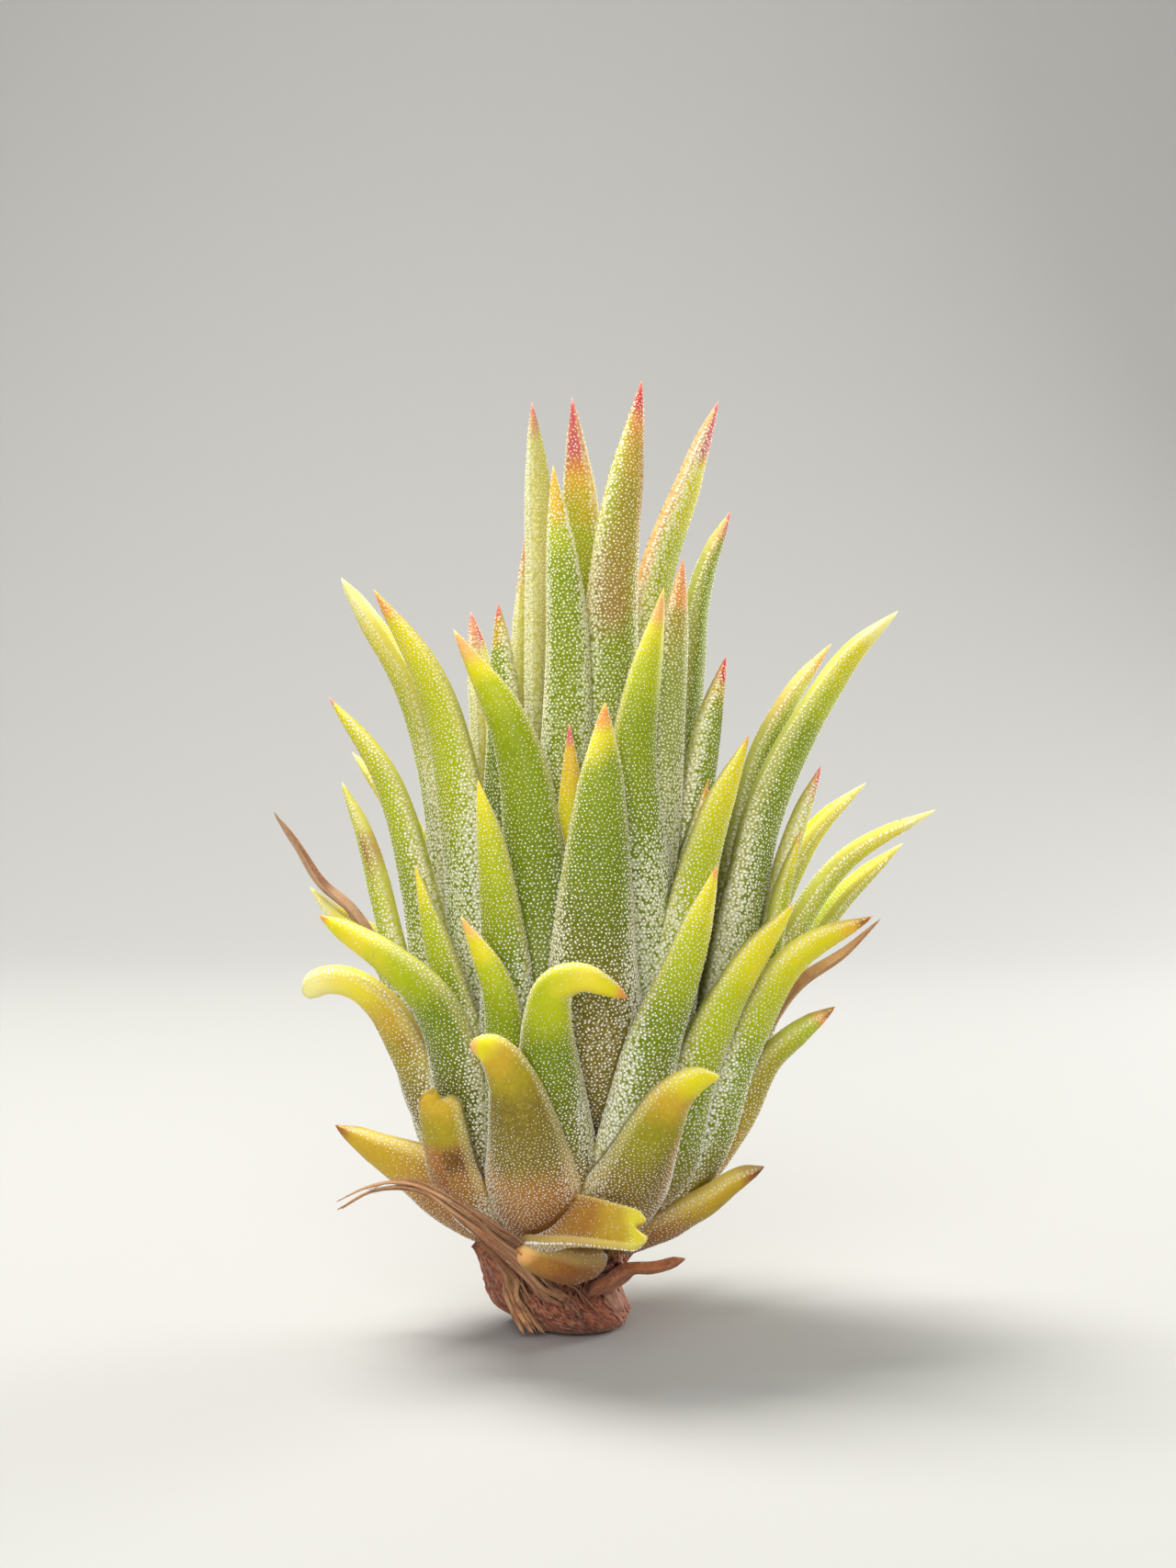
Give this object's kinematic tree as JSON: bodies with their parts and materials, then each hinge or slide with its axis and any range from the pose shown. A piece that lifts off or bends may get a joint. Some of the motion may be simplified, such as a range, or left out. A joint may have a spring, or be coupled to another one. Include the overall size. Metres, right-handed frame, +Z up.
{
  "type": "air plant",
  "caption": "Living air plant: a rosette of thick pointed channelled leaves with hooked tips, standing on the dry sheaths at its foot.",
  "frame": {"origin": "on the surface that the plant stands on, at the foot of the stem's axis, in the small flat spot under its dry sheath", "axes": "+Z up, the way the rosette grows; +X to the plant's right; -Y to its front, the side of the broad dotted leaf"},
  "size_m": [0.0486, 0.0406, 0.0682],
  "materials": {
    "leaf_silver": "silvery grey-green, densely covered in fine pale scales",
    "leaf_pale": "pale yellow-green with fine pale scales",
    "leaf_green": "fresh green with scattered fine pale scales",
    "leaf_olive": "olive green, fuzzy margins",
    "leaf_yellow": "smooth yellow-green, satin",
    "leaf_orange": "yellow flushed with orange, satin",
    "leaf_pink": "yellow-green flushed with pink towards the tip",
    "leaf_tan": "tan to silver-grey sheath, finely dotted",
    "stem": "pale, matte",
    "dry": "brown, dry and papery with lengthwise fibres"
  },
  "bodies": {
    "root": {"basal_leaf_1": "leaf_green", "basal_leaf_2": "leaf_silver", "basal_leaf_3": "leaf_tan", "basal_leaf_4": "leaf_yellow", "basal_leaf_5": "leaf_yellow", "basal_leaf_6": "leaf_orange", "basal_leaf_7": "leaf_tan", "basal_leaf_8": "leaf_orange", "crown_leaf_1": "leaf_orange", "crown_leaf_2": "leaf_pale", "crown_leaf_3": "leaf_olive", "crown_leaf_4": "leaf_pink", "crown_leaf_5": "leaf_olive", "crown_leaf_6": "leaf_green", "crown_leaf_7": "leaf_pale", "dry_curl": "dry", "dry_leaf_1": "dry", "dry_leaf_2": "dry", "dry_sheath": "dry", "inner_leaf_1": "leaf_silver", "inner_leaf_10": "leaf_green", "inner_leaf_2": "leaf_pink", "inner_leaf_3": "leaf_pale", "inner_leaf_4": "leaf_green", "inner_leaf_5": "leaf_orange", "inner_leaf_6": "leaf_yellow", "inner_leaf_7": "leaf_yellow", "inner_leaf_8": "leaf_pale", "inner_leaf_9": "leaf_pale", "middle_leaf_1": "leaf_yellow", "middle_leaf_10": "leaf_pale", "middle_leaf_2": "leaf_yellow", "middle_leaf_3": "leaf_green", "middle_leaf_4": "leaf_green", "middle_leaf_5": "leaf_pale", "middle_leaf_6": "leaf_silver", "middle_leaf_7": "leaf_green", "middle_leaf_8": "leaf_olive", "middle_leaf_9": "leaf_green", "outer_leaf_1": "leaf_yellow", "outer_leaf_10": "leaf_yellow", "outer_leaf_11": "leaf_orange", "outer_leaf_2": "leaf_yellow", "outer_leaf_3": "leaf_yellow", "outer_leaf_4": "leaf_pale", "outer_leaf_5": "leaf_green", "outer_leaf_6": "leaf_yellow", "outer_leaf_7": "leaf_yellow", "outer_leaf_8": "leaf_green", "outer_leaf_9": "leaf_yellow", "rear_leaves_1": "leaf_olive", "rear_leaves_2": "leaf_pale", "rear_leaves_3": "leaf_green", "rear_leaves_4": "leaf_pale", "rear_leaves_5": "leaf_yellow", "rear_leaves_6": "leaf_green", "rear_leaves_7": "leaf_tan", "stem": "stem"}
  },
  "joints": []
}
